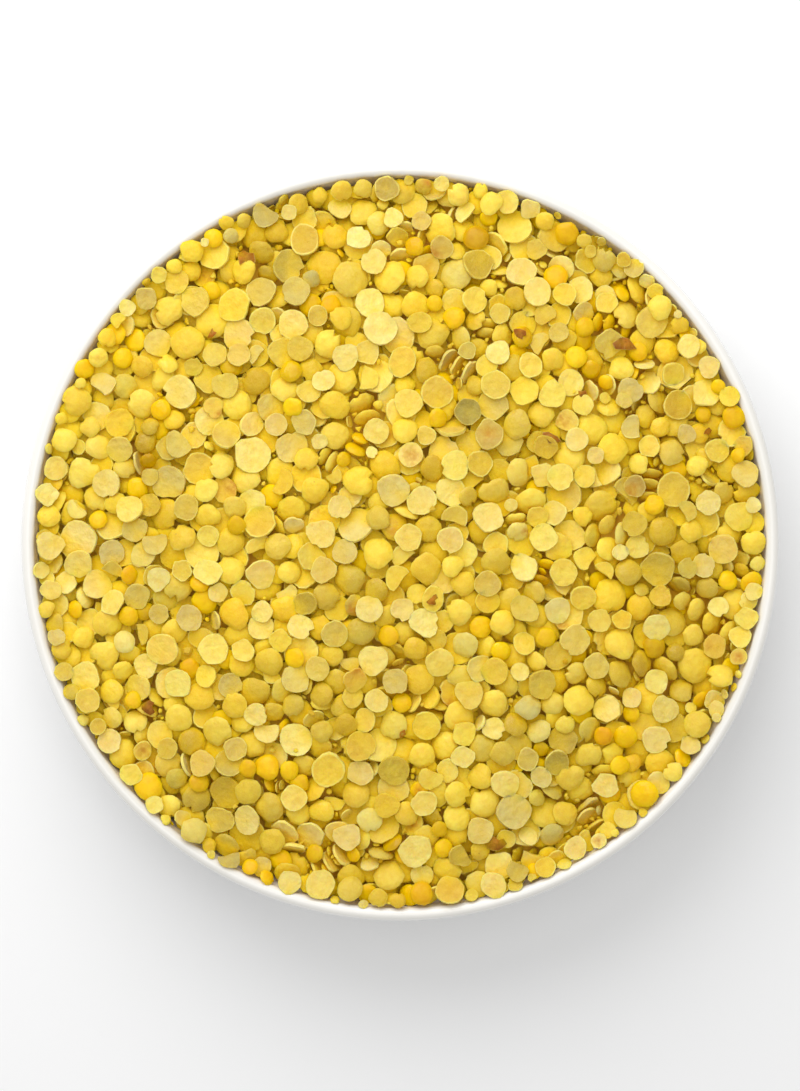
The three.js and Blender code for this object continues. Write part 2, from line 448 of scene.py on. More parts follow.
def core_finish(settings):
    """What lies deep between the lentils: the same stuff, painted as in shade, darker towards the edges
    of its cells.
    """
    finish = Finish("deep_lentils")
    place = finish.node("TexCoord", "Object")
    cells = finish.node("TexVoronoi", "Distance", Vector=place, Scale=300)
    # painted shade: darker towards the edges of the cells, as between lentils
    colour = finish.mix(finish.ramp(cells, 0.1, 0.7), settings.deep, settings.deep_shade)
    dents = finish.bump(cells, 0.5 * MM, 0.6)
    return finish.surface(Base_Color=colour, Roughness=0.7, Normal=dents)


# ---- The kinds of lentil --------------------------------------------------------------------


@dataclass
class Kind:
    """What lentils of one kind have in common: radii in metres, the rest as shares of them."""

    profile: list  # (share of radius, share of thickness) from the underside up
    radius: tuple  # middle, spread, least, most
    thickness: tuple  # middle, spread
    share: float = 0.0  # of all that is laid before the crumbs and scraps
    tip: float = 0.0  # the middle of the top above the last ring, as a share of thickness
    belly: float = 0.0  # roundness of the underside
    crown: float = 0.0  # roundness of the top
    uneven: float = 0.038  # how far outlines wander
    sides: int = 16
    rim: float = 0.3  # how pale the rim is
    powder: float = 0.12  # how pale the fine grain is
    roughness: float = 0.5
    dents: float = 0.8
    stained: float = 0.02  # share with a stain
    tan: float = 0.3  # how far the dullest turn from yellow to tan
    bitten: tuple = (-1.5, 0.95)  # depth of the bite at the stalk end, none where below zero
    curl: float = 0.03
    narrow: tuple = ()  # least and most width, as a share of the length
    cut: tuple = ()  # least and most distance of the broken edge from the middle


ROUND_SIDE_UP = [(0.95, 0.0), (1.0, 0.22), (0.90, 0.52), (0.64, 0.80)]
CUT_FACE_UP = [(0.62, 0.0), (1.0, 0.52), (0.97, 0.98), (0.86, 0.93)]
BOTH_SIDES_ROUND = [(0.62, 0.06), (1.0, 0.45), (0.88, 0.74), (0.56, 0.91)]
CRUMB = [(0.70, 0.0), (1.0, 0.45), (0.60, 1.0)]
FLAKE = [(0.96, 0.0), (1.0, 0.5), (0.94, 1.0)]

KINDS = {
    "round_side_up": Kind(
        share=0.29,
        profile=ROUND_SIDE_UP,
        tip=0.20,
        radius=(2.46 * MM, 0.36 * MM, 1.75 * MM, 3.4 * MM),
        thickness=(0.46, 0.06),
        crown=0.55,
        rim=0.12,
        roughness=0.46,
    ),
    "cut_face_up": Kind(
        share=0.376,
        profile=CUT_FACE_UP,
        radius=(2.58 * MM, 0.42 * MM, 1.8 * MM, 3.7 * MM),
        thickness=(0.39, 0.06),
        belly=0.7,
        rim=0.7,
        roughness=0.58,
        dents=1.1,
        tan=1.0,
    ),
    "whole": Kind(
        share=0.11,
        profile=BOTH_SIDES_ROUND,
        tip=0.09,
        radius=(1.92 * MM, 0.22 * MM, 1.5 * MM, 2.5 * MM),
        thickness=(0.66, 0.07),
        belly=0.5,
        crown=0.5,
        uneven=0.022,
        rim=0.0,
        powder=0.0,
        roughness=0.38,
        dents=0.5,
        tan=0.0,
        bitten=(-1.0, 0.3),
    ),
    "notched": Kind(
        share=0.12,
        profile=ROUND_SIDE_UP,
        tip=0.20,
        radius=(2.5 * MM, 0.3 * MM, 1.8 * MM, 3.3 * MM),
        thickness=(0.46, 0.06),
        crown=0.55,
        rim=0.2,
        bitten=(0.6, 1.3),
    ),
    "broken": Kind(
        share=0.05,
        profile=CUT_FACE_UP,
        radius=(2.35 * MM, 0.3 * MM, 1.6 * MM, 3.0 * MM),
        thickness=(0.44, 0.06),
        belly=0.5,
        rim=0.5,
        roughness=0.58,
        cut=(0.05, 0.6),
    ),
    "greenish": Kind(
        share=0.04,
        profile=ROUND_SIDE_UP,
        tip=0.20,
        radius=(2.35 * MM, 0.3 * MM, 1.7 * MM, 3.1 * MM),
        thickness=(0.40, 0.06),
        crown=0.5,
        rim=0.25,
    ),
    "stained": Kind(
        share=0.014,
        profile=CUT_FACE_UP,
        radius=(2.4 * MM, 0.3 * MM, 1.8 * MM, 3.1 * MM),
        thickness=(0.42, 0.06),
        belly=0.6,
        rim=0.6,
        roughness=0.55,
        stained=1.0,
    ),
    "crumb": Kind(
        profile=CRUMB,
        radius=(0.45 * MM, 0.16 * MM, 0.25 * MM, 0.9 * MM),
        thickness=(0.8, 0.15),
        belly=0.2,
        crown=0.2,
        uneven=0.12,
        sides=6,
        rim=0.0,
        powder=0.0,
        roughness=0.6,
    ),
    "husk": Kind(
        profile=FLAKE,
        radius=(1.4 * MM, 0.35 * MM, 0.8 * MM, 2.0 * MM),
        thickness=(0.12, 0.02),
        uneven=0.2,
        sides=9,
        rim=0.25,
        powder=0.0,
        roughness=0.65,
        dents=1.6,
        stained=1.0,
        curl=0.35,
        narrow=(0.5, 0.9),
    ),
}
LOOSE_BITS = {"crumb": 16, "husk": 11}


def kind_model(name):
    """One lentil of a kind at its typical size, modelled once; the heap is made of its copies."""
    kind = KINDS[name]
    thickness = kind.thickness[0] * TYPICAL_RADIUS
    profile = [(r * TYPICAL_RADIUS, t * thickness) for r, t in kind.profile]
    return thrown("one_" + name, kind.sides, profile, kind.tip * thickness)


# ---- Laying the heap ------------------------------------------------------------------------


def resting_plane(points):
    """The lowest plane over (x, y, z) points that holds up their middle: its height and slopes there.

    It is found by swapping three supports, the first of which stand far out and far down."""
    far = 4 * float(np.abs(points[:, :2]).max())
    low = float(points[:, 2].min()) - far
    supports = [(far * math.cos(a), far * math.sin(a), low) for a in (0.4, 2.5, 4.6)]
    for _ in range(MOST_SWAPS):
        (ax, ay, az), (bx, by, bz), (cx, cy, cz) = supports
        det = (bx - ax) * (cy - ay) - (cx - ax) * (by - ay)
        slope_x = ((bz - az) * (cy - ay) - (cz - az) * (by - ay)) / det
        slope_y = ((bx - ax) * (cz - az) - (cx - ax) * (bz - az)) / det
        height = az - slope_x * ax - slope_y * ay
        over = points[:, 2] - (height + slope_x * points[:, 0] + slope_y * points[:, 1])
        worst = int(np.argmax(over))
        if over[worst] < TOUCH:
            break
        found = tuple(float(v) for v in points[worst])
        trios = [[found if i == j else s for i, s in enumerate(supports)] for j in range(3)]
        supports = max(trios, key=middle_share)
    return height, slope_x, slope_y


def middle_share(trio):
    """The least share of three points in the middle between them, below zero if it lies outside."""
    (ax, ay, _), (bx, by, _), (cx, cy, _) = trio
    det = (by - cy) * (ax - cx) + (cx - bx) * (ay - cy)
    if abs(det) < 1e-14:  # they stand in line
        return -math.inf
    first = (-(by - cy) * cx + (bx - cx) * cy) / det
    second = (-(cy - ay) * cx + (cx - ax) * cy) / det
    return min(first, second, 1 - first - second)


def tilted_axes(slope_x, slope_y):
    """Two axes in a plane of given slopes and its normal, as the rows of a matrix."""
    normal = np.array([-slope_x, -slope_y, 1.0])
    normal /= np.linalg.norm(normal)
    along = np.array([1.0, 0.0, slope_x])
    along /= np.linalg.norm(along)
    return np.array([along, np.cross(normal, along), normal])


class Heap:
    """The heap as it grows: a raster of heights, and the lentils laid so far."""

    def __init__(self, random):
        self.random = random
        self.half = int(DISH_RADIUS / CELL) + RASTER_MARGIN
        axis = np.arange(-self.half, self.half + 1) * CELL
        x, y = np.meshgrid(axis, axis, indexing="ij")
        along = np.hypot(x, y)
        wall = inside_curve(WALL_SAMPLES)
        self.target = fill_height(x, y)
        inside_height = np.interp(along, wall[:, 0], wall[:, 1])
        over_rim = np.clip(along - FILL_RADIUS, 0, RIM_THICKNESS / 2)
        inside_height += np.sqrt(RIM_THICKNESS * over_rim - over_rim**2)
        inside_height[along > FILL_RADIUS + OVERHANG] = DISH_HEIGHT + OVERHANG_STOP
        self.top = np.maximum(self.target - LOOSE_DEPTH, inside_height)
        self.inside = along < FILL_RADIUS
        self.at_wall = self.inside & (along > FILL_RADIUS - WALL_STRIP)
        self.laid = []
        self.around = None
        turn = np.arange(SAMPLES) * math.pi * (3 - math.sqrt(5))
        self.rho = np.sqrt((np.arange(SAMPLES) + 0.5) / SAMPLES)
        self.unit = np.stack([self.rho * np.cos(turn), self.rho * np.sin(turn)], 1)
        self.discs = {}

    def disc(self, radius):
        """Raster steps within a radius, and each one's place."""
        reach = max(2, round(radius / CELL * 2)) / 2
        if reach not in self.discs:
            span = np.arange(-int(reach), int(reach) + 1)
            i, j = np.meshgrid(span, span, indexing="ij")
            within = np.hypot(i, j) <= reach
            steps = np.stack([i[within], j[within]], 1)
            self.discs[reach] = (steps, steps * CELL)
        return self.discs[reach]

    def room(self):
        """How far the heap is below its full height, on average."""
        return float((self.target - self.top)[self.inside].mean())

    def depths_around(self, i, j, radius):
        """How far the heap is below its full height within a radius of raster steps, on average."""
        steps, _ = self.disc(radius)
        around = (i[:, None] + steps[:, 0], j[:, None] + steps[:, 1])
        return (self.target[around] - self.top[around]).mean(1)

    def low_spots(self, radius, tries, kept=1):
        """The lowest of some random places, as (step, step, depth) below the full height."""
        reach = (FILL_RADIUS - WALL_CLEARANCE * radius) / CELL
        along = np.minimum(reach, WALL_CROWDING * reach * np.sqrt(self.random.random(tries)))
        angle = 2 * math.pi * self.random.random(tries)
        i = np.rint(along * np.cos(angle)).astype(int) + self.half
        j = np.rint(along * np.sin(angle)).astype(int) + self.half
        depth = self.depths_around(i, j, SPOT_WEIGHED * radius)
        return [(int(i[n]), int(j[n]), float(depth[n])) for n in np.argsort(-depth)[:kept]]

    def plane_at(self, i, j, radius, belly):
        """The plane on which a lentil with a round belly rests at a place."""
        steps, places = self.disc(FOOTING * radius)
        heights = self.top[i + steps[:, 0], j + steps[:, 1]]
        heights = heights - belly * (places**2).sum(1) / radius**2
        return resting_plane(np.column_stack([places, heights]))

    def slid(self, i, j, radius, belly):
        """Where a lentil lies after it has slid downhill until friction holds it, and on what plane."""
        plane = self.plane_at(i, j, radius, belly)
        reach = (FILL_RADIUS - SLID_CLEARANCE * radius) / CELL
        for _ in range(MOST_SLIDES):
            steepness = math.hypot(plane[1], plane[2])
            if steepness < FRICTION:
                break
            i_next = i - round(SLIDE_STEP * plane[1] / steepness)
            j_next = j - round(SLIDE_STEP * plane[2] / steepness)
            if math.hypot(i_next - self.half, j_next - self.half) > reach:
                break
            found = self.plane_at(i_next, j_next, radius, belly)
            if found[0] >= plane[0] - TOUCH:
                break
            i, j, plane = i_next, j_next, found
        return i, j, plane

    def fit(self, i, j, slopes, lentil):
        """Where a lentil let down at a given tilt touches the heap, and what it then covers."""
        axes = tilted_axes(*slopes)
        flat = self.unit * lentil["radius"]
        belly = lentil["belly"] * lentil["thickness"] * self.rho**2
        crown = lentil["thickness"] * (1 - lentil["crown"] * self.rho**3)
        under = np.column_stack([flat, belly]) @ axes
        over = np.column_stack([flat, crown]) @ axes
        under_cells = np.rint(under[:, :2] / CELL).astype(int) + (i, j)
        over_cells = tuple((np.rint(over[:, :2] / CELL).astype(int) + (i, j)).T)
        base = float((self.top[tuple(under_cells.T)] - under[:, 2]).max())
        heights = base + over[:, 2]
        return {
            "at": ((i - self.half) * CELL, (j - self.half) * CELL, base),
            "slopes": np.array(slopes),
            "cells": over_cells,
            "heights": heights,
            "above": float((heights - self.target[over_cells]).max()),
            "level": base - float(self.target[i, j]),
        }

    def settled_at(self, i, j, lentil):
        """How a lentil comes to rest that is let down flat at a place."""
        i, j, plane = self.slid(i, j, lentil["radius"], lentil["belly"] * lentil["thickness"])
        slopes = np.array(plane[1:])
        steepness = float(np.hypot(*slopes))
        if steepness > STEEPEST:
            slopes *= STEEPEST / steepness
        return self.fit(i, j, slopes, lentil)

    def depth_of(self, places):
        """How far (x, y, z) places lie below the mean height of the heap around them."""
        if self.around is None:
            steps, _ = self.disc(SHADE_REACH)
            self.around = np.mean([np.roll(self.top, tuple(step), (0, 1)) for step in steps], 0)
        i, j = (np.rint(places[..., axis] / CELL).astype(int) + self.half for axis in (0, 1))
        return self.around[i, j] - places[..., 2]

    def lay(self, fitted, lentil):
        """Adds a lentil where it fits, a little aslant, and raises the raster by it."""
        np.maximum.at(self.top, fitted["cells"], fitted["heights"])
        axes = tilted_axes(*(fitted["slopes"] + self.random.normal(0, SWAY, 2)))
        self.laid.append({**lentil, "at": fitted["at"], "axes": axes})


def new_lentil(random, name):
    """The size and shape of one lentil of a kind."""
    kind = KINDS[name]
    middle, spread, least, most = kind.radius
    radius = float(np.clip(random.normal(middle, spread), least, most))
    share, wander = kind.thickness
    share = float(np.clip(random.normal(share, wander), share - 2 * wander, share + 2 * wander))
    return {
        "kind": name,
        "radius": radius,
        "thickness": radius * share,
        "belly": kind.belly,
        "crown": kind.crown,
    }


def lay_heap(settings):
    """Lays lentils one by one, each on what lies there, until the dish is full."""
    random = np.random.default_rng(SEED)
    heap = Heap(random)
    names = list(KINDS)
    shares = np.array([KINDS[n].share for n in names])

    def any_kind():
        return names[random.choice(len(names), p=shares)]

    misses = 0
    while heap.room() > settings.slack * MM and misses < MOST_MISSES:
        lentil = new_lentil(random, any_kind())
        spots = heap.low_spots(lentil["radius"], SPOTS_TRIED, SPOTS_KEPT)
        if spots[0][2] > LEAN_DEPTH and random.random() < settings.leaning:
            lay_leaning(heap, *spots[0][:2], lentil)
            continue
        fits = [heap.settled_at(i, j, lentil) for i, j, _ in spots]
        fitted = min(fits, key=lambda fit: fit["level"])
        if fitted["above"] < settings.highest * MM:
            heap.lay(fitted, lentil)
        else:
            misses += 1
    fill_gaps(heap, GAP_ROUNDS, any_kind)
    fill_gaps(heap, CRUMB_ROUNDS, lambda: "crumb")
    fill_gaps(heap, WALL_ROUNDS, any_kind, against_wall=True)
    strew_bits(heap)
    return heap


def lay_leaning(heap, i, j, lentil):
    """Lays a few lentils leaning on each other like fallen plates."""
    random = heap.random
    slope = random.uniform(*LEAN_SLOPES)
    towards = random.uniform(0, 2 * math.pi)
    apart = (lentil["thickness"] * math.hypot(1, slope) / slope + LEAN_GAP) / CELL
    for n in range(int(random.choice(LEAN_COUNTS))):
        next_i = i + round(n * apart * math.cos(towards))
        next_j = j + round(n * apart * math.sin(towards))
        from_middle = math.hypot(next_i - heap.half, next_j - heap.half) * CELL
        if from_middle > FILL_RADIUS - lentil["radius"]:
            break
        tilt = slope * random.uniform(*LEAN_TILTS)
        turn = towards + random.normal(0, LEAN_TWIST)
        leaning = {**lentil, "radius": lentil["radius"] * random.uniform(*LEAN_SIZES)}
        fitted = heap.fit(next_i, next_j, (tilt * math.cos(turn), tilt * math.sin(turn)), leaning)
        if fitted["above"] < LEAN_HIGHEST:
            heap.lay(fitted, leaning)


def fill_gaps(heap, rounds, next_kind, against_wall=False):
    """Fills gaps in rounds of tries, each with a small lentil of the kind that next_kind names."""
    where = heap.at_wall if against_wall else heap.inside
    for depth, sizes, highest, tries in rounds:
        for _ in range(tries):
            name = next_kind()
            gaps = np.argwhere(where & (heap.target - heap.top > depth * MM))
            if not len(gaps):
                continue
            lentil = small_lentil(heap.random, name, sizes)
            fitted = let_down(heap, gaps, lentil, against_wall)
            if fitted and fitted["above"] < highest * MM:
                heap.lay(fitted, lentil)


def small_lentil(random, name, sizes):
    """A lentil of a kind, brought to a radius between two limits in millimetres."""
    lentil = new_lentil(random, name)
    share = lentil["thickness"] / lentil["radius"]
    radius = random.uniform(*sizes) * MM
    return {**lentil, "radius": radius, "thickness": share * radius}


def let_down(heap, gaps, lentil, against_wall):
    """How a lentil fits in one of the deepest gaps, at the place and tilt that take it lowest.

    Against the wall, it leans outwards."""
    random = heap.random
    weighed = gaps[random.integers(len(gaps), size=GAPS_WEIGHED)]
    middle = weighed[np.argmax(heap.depths_around(*weighed.T, GAP_WEIGHED * lentil["radius"]))]
    slope = random.uniform(*GAP_SLOPES, TILTS_TRIED)
    turn = random.uniform(0, 2 * math.pi, TILTS_TRIED)
    if against_wall:
        slope *= WALL_FLATTER
        i_out, j_out = middle - heap.half
        turn = math.atan2(j_out, i_out) + random.normal(0, WALL_WANDER, TILTS_TRIED)
    near = middle + random.integers(-GAP_STEPS, GAP_STEPS + 1, (TILTS_TRIED, 2))
    tilts = zip(near, np.stack([slope * np.cos(turn), slope * np.sin(turn)], 1))
    fits = [heap.fit(*place, tilt, lentil) for place, tilt in tilts if heap.inside[tuple(place)]]
    return min(fits, key=lambda fit: fit["above"], default=None)


def strew_bits(heap):
    """Strews crumbs and scraps of husk, most of them where the heap dips."""
    random = heap.random
    for name, count in LOOSE_BITS.items():
        for _ in range(count):
            bit = new_lentil(random, name)
            i, j, _ = heap.low_spots(BIT_WEIGHED * bit["radius"], BIT_SPOTS)[0]
            _, *slopes = heap.plane_at(i, j, bit["radius"], 0)
            slopes = np.clip(slopes, -BIT_STEEPEST, BIT_STEEPEST)
            heap.lay(heap.fit(i, j, slopes, bit), bit)


# ---- From laid lentils to meshes ------------------------------------------------------------


class Lots:
    """Random numbers for many lentils at once, one for each."""

    def __init__(self, random, count):
        self.random = random
        self.count = count

    def between(self, low, high):
        return self.random.uniform(low, high, (self.count, 1))

    def around(self, middle, spread):
        return self.random.normal(middle, spread, (self.count, 1))

    def turn(self):
        return self.between(0, 2 * math.pi)


def uneven_outline(lots, angle, uneven):
    """Factors on each lentil's radius round its outline: slow waves, flat sides, on some a chip."""

    def away_from(start):
        return np.abs((angle[None, :] - start + math.pi) % (2 * math.pi) - math.pi)

    factor = np.ones((lots.count, len(angle)))
    for waves, share in OUTLINE_WAVES:
        size = lots.around(0, uneven * share)
        factor += size * np.cos(waves * angle + lots.turn())
    for _ in range(FLAT_SIDES):
        towards_side = np.cos(np.minimum(away_from(lots.turn()), SIDE_REACH))
        factor = np.minimum(factor, lots.between(*SIDE_DISTANCE) / towards_side)
    chip = np.maximum(lots.between(*CHIP_DEPTH), 0)
    return factor - chip * np.exp(-((away_from(lots.turn()) / CHIP_WIDTH) ** 2))


def bitten_outline(angle, along, sides, depth, lip):
    """Takes the small bite at the stalk end out of each outline, and draws out the lip beside it."""
    step = 2 * math.pi / sides
    outer = np.clip((along - BITE_START) / (1 - BITE_START), 0, 1) * depth
    in_bite = np.abs(angle) < 0.5 * step
    beside = ~in_bite & (np.abs(angle) < 1.5 * step)
    along = along * (1 - BITE_DEPTH * outer * in_bite + lip * outer * (beside & (angle > 0)))
    return angle * (1 - BITE_NARROWING * outer * beside), along


def lentil_forms(kind, local, radius, thickness, lots):
    """Each lentil's own form: x and y as shares of its radius, and z in metres."""
    angle = np.arctan2(local[:, 1], local[:, 0])
    along = np.hypot(local[:, 0], local[:, 1]) * uneven_outline(lots, angle, kind.uneven)
    bite = np.maximum(lots.between(*kind.bitten), 0)
    angle, along = bitten_outline(angle, along, kind.sides, bite, lots.between(*LIP))
    x = along * np.cos(angle)
    y = along * np.sin(angle)
    if kind.narrow:
        y = y * lots.between(*kind.narrow)
    if kind.cut:
        cut = lots.between(*kind.cut) + CUT_WAVE * np.sin(4 * y + lots.between(0, 6))
        x = np.minimum(x, cut)
    z = local[:, 2] * thickness
    warp = lots.turn()
    across = x * np.cos(warp) + y * np.sin(warp)
    crosswise = x * np.sin(warp) - y * np.cos(warp)
    z = z + lots.around(0, kind.curl) * radius * across**2
    waves = np.sin(FACE_TURNS[0] * across + warp) * np.sin(FACE_TURNS[1] * crosswise)
    z = z + FACE_WAVES * radius * waves
    z = z + lots.random.normal(0, POINT_NOISE, z.shape) * radius
    return x, y, z


def placed_points(x, y, z, radius, axes, at, lots):
    """Each lentil's points in the dish, after it is spun about its own middle."""
    spin = lots.turn()
    turned_x = (x * np.cos(spin) - y * np.sin(spin)) * radius
    turned_y = (x * np.sin(spin) + y * np.cos(spin)) * radius
    return np.stack([turned_x, turned_y, z], 2) @ axes + at[:, None, :]


def skin_colours(kind, skin, local, at, lots):
    """The kind's skin with each lentil's own gold, dullness, tan inside its rim, and shade."""
    gold = GOLD * np.clip(lots.around(*GOLD_DRAWN), *GOLD_LIMITS)
    dull = DULL * np.clip(lots.around(0, 1), *DULL_LIMITS)
    tan = TAN * kind.tan * lots.between(0, 1) ** 2
    from_rim = TAN_INSIDE - np.hypot(local[:, 0], local[:, 1])
    inner = np.clip(from_rim / TAN_FADING, TAN_LEFT, 1)[:, None]
    shade = lots.around(*SHADE_DRAWN) + DRIFT_SHARE * slow_drift(at[:, :1], at[:, 1:2])
    whole = gold + dull + np.minimum(shade, SHADE_LIGHTEST)
    own = np.exp(whole[:, None, :] + tan[:, None, :] * inner) * np.array(skin)
    colour = np.ones((lots.count, len(local), 4))
    colour[:, :, :3] = own * np.minimum(BRIGHTEST / own.max(2, keepdims=True), 1)
    return colour


def stains(kind, x, y, lots):
    """How stained each point is: some lentils have one spot, off their middle."""
    towards = lots.turn()
    off = lots.between(*STAIN_OFF)
    from_spot = np.hypot(x - np.cos(towards) * off, y - np.sin(towards) * off)
    has_spot = lots.between(0, 1) < kind.stained
    return has_spot * np.clip(1.3 - from_spot / lots.between(*STAIN_SIZE), 0, 1)


def joined_lentils(name, heap, skin, random):
    """All lentils of one kind as one mesh of copies, each of its own form and colours."""
    kind = KINDS[name]
    local, faces = taken_apart(kind_model(name))
    local[:, :2] /= TYPICAL_RADIUS
    local[:, 2] /= kind.thickness[0] * TYPICAL_RADIUS
    laid = [row for row in heap.laid if row["kind"] == name]
    lots = Lots(random, len(laid))
    radius = np.array([row["radius"] for row in laid])[:, None]
    thickness = np.array([row["thickness"] for row in laid])[:, None]
    axes = np.array([row["axes"] for row in laid])
    at = np.array([row["at"] for row in laid])

    x, y, z = lentil_forms(kind, local, radius, thickness, lots)
    placed = placed_points(x, y, z, radius, axes, at, lots)
    piece = mesh_of_copies(name, placed, faces)
    colour = skin_colours(kind, skin, local, at, lots)
    stain = stains(kind, x, y, lots)
    edge = lots.between(*EDGE_DRAWN) * np.hypot(local[:, 0], local[:, 1])
    shift = random.uniform(-PATTERN_SHIFT, PATTERN_SHIFT, (len(laid), 1, 3))
    place = np.stack([x * radius, y * radius, z], 2) / MM + shift
    write_attribute(piece, "skin", "FLOAT_COLOR", "color", colour)
    write_attribute(piece, "edge", "FLOAT", "value", edge)
    write_attribute(piece, "stain", "FLOAT", "value", stain)
    # the depth below the heap around, which sets where shade is painted on the skins
    write_attribute(piece, "depth", "FLOAT", "value", heap.depth_of(placed))
    write_attribute(piece, "place", "FLOAT_VECTOR", "vector", place)
    return piece


def taken_apart(model):
    """A model's points and faces; the model itself is removed."""
    mesh = model.data
    points = np.zeros(len(mesh.vertices) * 3)
    mesh.vertices.foreach_get("co", points)
    faces = [list(face.vertices) for face in mesh.polygons]
    bpy.data.objects.remove(model)
    bpy.data.meshes.remove(mesh)
    return points.reshape(-1, 3), faces


def mesh_of_copies(name, points, faces):
    """A mesh of copies: points has each copy's places, and faces are the same in every copy."""
    count, size, _ = points.shape
    corners = np.array([v for face in faces for v in face])
    lengths = np.array([len(face) for face in faces])
    starts = np.concatenate([[0], np.cumsum(lengths)[:-1]])
    shift = np.arange(count)[:, None]
    mesh = bpy.data.meshes.new(name)
    mesh.vertices.add(count * size)
    mesh.vertices.foreach_set("co", points.ravel())
    mesh.loops.add(count * len(corners))
    mesh.loops.foreach_set("vertex_index", (corners[None, :] + shift * size).ravel())
    mesh.polygons.add(count * len(faces))
    mesh.polygons.foreach_set("loop_start", (starts[None, :] + shift * len(corners)).ravel())
    mesh.update(calc_edges=True)
    mesh.validate()
    piece = bpy.data.objects.new(name, mesh)
    bpy.context.scene.collection.objects.link(piece)
    return piece


def write_attribute(piece, name, kind, field, values):
    made = piece.data.attributes.new(name, kind, "POINT")
    made.data.foreach_set(field, np.ascontiguousarray(values, dtype=np.float32).ravel())


# ---- Settings -------------------------------------------------------------------------------


def colour_setting(label, about, code):
    return bpy.props.FloatVectorProperty(
        name=label, description=about, default=linear(code), subtype="COLOR", min=0, max=1
    )


class DishSettings(bpy.types.PropertyGroup):
    glaze: colour_setting("Glaze", "Colour of the glaze", "f4f3f0")
    glaze_shadow: colour_setting("Glaze Clouds", "Colour of faint clouds in the glaze", "ecebe6")
    glaze_rim: colour_setting("Rim", "Colour of the glaze where it thins on the rim", "efe9dc")
    clay: colour_setting("Bare Clay", "Colour of the unglazed foot", "d9cdb8")
    clay_dark: colour_setting("Clay Grain", "Darker grains in the unglazed foot", "c2b49c")


class LentilSettings(bpy.types.PropertyGroup):
    slack: bpy.props.FloatProperty(
        name="Slack",
        description="Millimetres below the full height at which laying stops",
        default=0.4,
    )
    highest: bpy.props.FloatProperty(
        name="Highest",
        description="Millimetres that a lentil may stand above the full height",
        default=0.42,
    )
    leaning: bpy.props.FloatProperty(
        name="Leaning",
        description="Share of lentils laid leaning on each other",
        default=0.13,
        subtype="FACTOR",
    )
    round_side_up: colour_setting("Round Side", "Skin of halves that lie round side up", "f2d13e")
    cut_face_up: colour_setting("Cut Face", "Halves that lie cut face up", "f5dc6a")
    whole: colour_setting("Whole", "Skin of small whole lentils", "f9ca04")
    notched: colour_setting("Notched", "Skin of lentils with a bite at the stalk end", "f2d44a")
    broken: colour_setting("Broken", "Broken lentils", "f1d866")
    greenish: colour_setting("Greenish", "Unripe lentils", "e2cf60")
    stained: colour_setting("Stained", "Lentils with a brown stain", "e6c450")
    crumb: colour_setting("Crumb", "Crumbs of lentil", "efcc3c")
    husk: colour_setting("Husk", "Scraps of husk", "985a08")
    mottle: colour_setting("Mottling", "What the skin is multiplied by in patches", "f7edd4")
    # painted shade: the deep gold without blue that skins turn to between and under others
    gap_shade: colour_setting("Sunk", "What skins turn to between and under others", "f8d00a")
    pale: colour_setting("Rim", "Thin pale rim and powdery grain", "fbeb82")
    stain: colour_setting("Stain", "Colour of a stain", "c4801c")
    speck: colour_setting("Speck", "Small dark specks", "8a5a20")
    # painted shade: the deep gold of the core, and its darker cell edges below
    deep: colour_setting("Deep", "Colour of what lies deep between the lentils", "ffd420")
    deep_shade: colour_setting("Deep Shade", "Its darker parts", "e6b41c")


class StageSettings(bpy.types.PropertyGroup):
    floor: colour_setting("Floor", "Colour of the floor", "f8f8f8")
    key_power: bpy.props.FloatProperty(
        name="Key Light", description="Power of the key light", default=1.75, unit="POWER"
    )
    fill_power: bpy.props.FloatProperty(
        name="Fill Light",
        description="Power of the light from straight above",
        default=0.8,
        unit="POWER",
    )
    sky: bpy.props.FloatProperty(
        name="Sky", description="Strength of the light from all round", default=0.575
    )
    distance: bpy.props.FloatProperty(
        name="Camera Height",
        description="From the rim up to the camera",
        default=0.65,
        unit="LENGTH",
    )


# ---- Operators ------------------------------------------------------------------------------


def soft_light(name, place, power):
    """A large round light that looks at the dish."""
    bpy.ops.object.light_add(type="AREA", location=place)
    light = bpy.context.object
    light.name = name
    light.data.shape = "DISK"
    light.data.size = LIGHT_SIZE
    light.data.energy = power
    light.rotation_euler = (Vector(LIT_POINT) - light.location).to_track_quat("-Z", "Y").to_euler()


